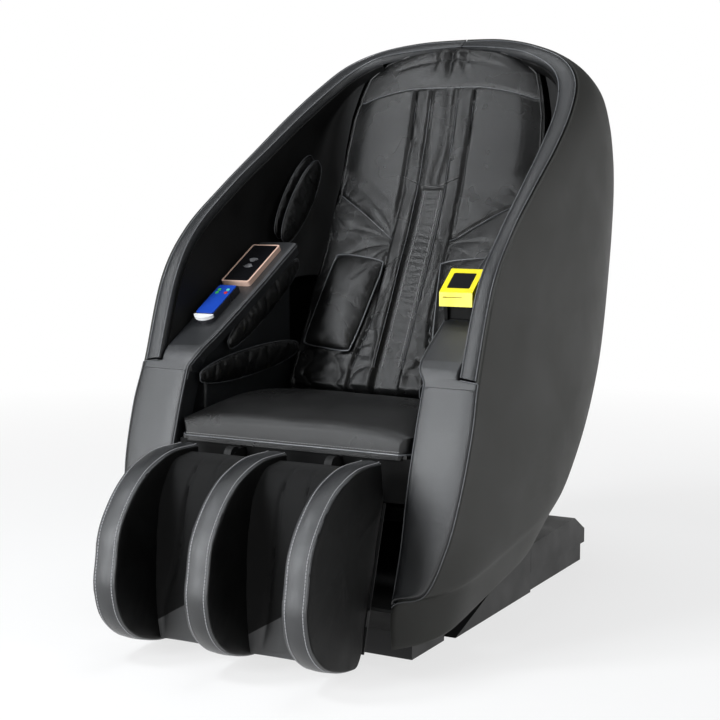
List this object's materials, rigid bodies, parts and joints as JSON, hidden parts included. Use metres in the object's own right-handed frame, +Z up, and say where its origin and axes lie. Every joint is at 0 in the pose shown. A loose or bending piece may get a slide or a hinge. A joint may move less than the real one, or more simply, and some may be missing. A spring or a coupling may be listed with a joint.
{
  "type": "massage chair",
  "caption": "Coin and card operated capsule massage chair in dark leather: egg-shaped side shells, padded back and seat, three-fin leg rest, payment terminal and phone charger.",
  "frame": {"origin": "on the floor under the middle of the chair's outer box", "axes": "+Z up, -Y the way the sitter faces, +X to the sitter's left"},
  "size_m": [0.8, 1.2803, 1.232],
  "materials": {
    "black_steel": "black powder coat",
    "base_plastic": "fine grained black moulding",
    "inlet_plastic": "black moulding",
    "rubber": "moulded",
    "wheel_nylon": "moulded",
    "switch_red": "moulded",
    "shell_leather": "dark grey, fine grain, satin",
    "rim_leather": "dark grey, fine grain, satin",
    "arm_leather": "dark grey, fine grain, satin",
    "liner_leather": "black, matte",
    "seat_leather": "black, soft, piped and stitched",
    "airbag_leather": "black, thin",
    "fin_leather": "dark grey, stitched",
    "calf_fabric": "black stretch cloth",
    "rose_gold": "rose gold anodised",
    "black_glass": "black, polished",
    "remote_plastic": "black moulding",
    "remote_blue": "blue face film",
    "remote_white": "white moulding",
    "key_red": "moulded",
    "key_green": "moulded",
    "key_teal": "moulded",
    "terminal_yellow": "moulded",
    "steel_part": "turned",
    "seat_ply": "birch board",
    "roller_tan": "soft moulding"
  },
  "bodies": {
    "base": {"base_frame": "black_steel", "base_side_covers": "base_plastic", "base_rear_cover": "base_plastic", "front_plinth": "base_plastic", "rubber_feet": "rubber", "power_inlet": "inlet_plastic"},
    "wheel_left": {"wheel_left": "wheel_nylon"},
    "wheel_right": {"wheel_right": "wheel_nylon"},
    "rocker": {"power_switch": "switch_red"},
    "capsule": {"side_shell_left": "shell_leather", "side_shell_right": "shell_leather", "inner_liner_left": "liner_leather", "inner_liner_right": "liner_leather", "rim_band_left": "rim_leather", "rim_band_right": "rim_leather", "arm_left": "arm_leather", "arm_right": "arm_leather", "seat_frame": "black_steel", "seat_board": "seat_ply", "seat_apron": "arm_leather", "lower_frame": "black_steel", "back_frame": "black_steel", "bottom_pan": "base_plastic", "rear_seam_strip": "shell_leather", "control_box": "inlet_plastic", "seat_cushion": "seat_leather", "back_cover": "seat_leather", "head_pad": "seat_leather", "hip_pad_left": "seat_leather", "hip_pad_right": "seat_leather", "shoulder_airbag_left": "airbag_leather", "shoulder_airbag_right": "airbag_leather", "arm_airbag_left": "airbag_leather", "arm_airbag_right": "airbag_leather", "charger_frame": "rose_gold", "charger_glass": "black_glass", "remote_body": "remote_plastic", "remote_face": "remote_blue", "remote_end_cap": "remote_white", "terminal_bracket": "remote_plastic", "terminal_body": "terminal_yellow", "terminal_screen": "black_glass"},
    "leg_rest": {"leg_frame": "black_steel", "leg_fin_left": "fin_leather", "leg_fin_middle": "fin_leather", "leg_fin_right": "fin_leather", "calf_channel_left": "calf_fabric", "calf_channel_right": "calf_fabric", "leg_rear_cover": "base_plastic"},
    "key_1": {"remote_key_1": "key_green"},
    "key_2": {"remote_key_2": "key_teal"},
    "key_3": {"remote_key_3": "key_green"},
    "key_4": {"remote_key_4": "key_red"},
    "carriage": {"massage_carriage": "inlet_plastic"},
    "massage_arm_left": {"massage_arm_left": "steel_part"},
    "roller_left": {"roller_left": "roller_tan"},
    "massage_arm_right": {"massage_arm_right": "steel_part"},
    "roller_right": {"roller_right": "roller_tan"},
    "strut_body": {"tilt_strut_body": "black_steel"},
    "strut_rod": {"tilt_strut_rod": "steel_part"}
  },
  "joints": [
    {"name": "tilt", "type": "hinge", "parent": "base", "child": "capsule", "pos_m": [0, 0.16, 0.11], "axis": [-1, 0, 0], "range_deg": [0, 15]},
    {"name": "leg_lift", "type": "hinge", "parent": "capsule", "child": "leg_rest", "pos_m": [0, -0.344, 0.362], "axis": [-1, 0, 0], "range_deg": [0, 75]},
    {"name": "carriage_climb", "type": "slide", "parent": "capsule", "child": "carriage", "axis": [0, 0.4147, 0.91], "range_m": [0, 0.335]},
    {"name": "massage_arm_left_swing", "type": "hinge", "parent": "carriage", "child": "massage_arm_left", "pos_m": [0.07, 0.25146, 0.56783], "axis": [1, 0, 0], "range_deg": [-5, 8]},
    {"name": "roller_left_spin", "type": "hinge", "parent": "massage_arm_left", "child": "roller_left", "pos_m": [0.07, 0.26888, 0.60605], "axis": [1, 0, 0], "continuous": true},
    {"name": "massage_arm_right_swing", "type": "hinge", "parent": "carriage", "child": "massage_arm_right", "pos_m": [-0.07, 0.25146, 0.56783], "axis": [1, 0, 0], "range_deg": [-5, 8]},
    {"name": "roller_right_spin", "type": "hinge", "parent": "massage_arm_right", "child": "roller_right", "pos_m": [-0.07, 0.26888, 0.60605], "axis": [1, 0, 0], "continuous": true},
    {"name": "wheel_left_spin", "type": "hinge", "parent": "base", "child": "wheel_left", "pos_m": [0.207, 0.5, 0.028], "axis": [1, 0, 0], "continuous": true},
    {"name": "wheel_right_spin", "type": "hinge", "parent": "base", "child": "wheel_right", "pos_m": [-0.207, 0.5, 0.028], "axis": [1, 0, 0], "continuous": true},
    {"name": "key_1_press", "type": "slide", "parent": "capsule", "child": "key_1", "axis": [0, 0.4924, -0.8704], "range_m": [0, 0.001], "stiffness_N_per_m": 250},
    {"name": "key_2_press", "type": "slide", "parent": "capsule", "child": "key_2", "axis": [0, 0.4924, -0.8704], "range_m": [0, 0.001], "stiffness_N_per_m": 250},
    {"name": "key_3_press", "type": "slide", "parent": "capsule", "child": "key_3", "axis": [0, 0.4924, -0.8704], "range_m": [0, 0.001], "stiffness_N_per_m": 250},
    {"name": "key_4_press", "type": "slide", "parent": "capsule", "child": "key_4", "axis": [0, 0.4924, -0.8704], "range_m": [0, 0.001], "stiffness_N_per_m": 250},
    {"name": "rocker_rock", "type": "hinge", "parent": "base", "child": "rocker", "pos_m": [0.075, 0.547, 0.026], "axis": [-1, 0, 0], "range_deg": [0, 14]},
    {"name": "strut_swing", "type": "hinge", "parent": "base", "child": "strut_body", "pos_m": [0, -0.1, 0.052], "axis": [-1, 0, 0], "range_deg": [0, 12.22]},
    {"name": "strut_extend", "type": "slide", "parent": "strut_body", "child": "strut_rod", "axis": [0, -0.1155, 0.9933], "range_m": [0, 0.0683]}
  ],
  "couplings": [
    {"joint": "strut_swing", "follows": "tilt", "ratio": 0.81152},
    {"joint": "strut_extend", "follows": "tilt", "m_per_rad": 0.25988}
  ]
}
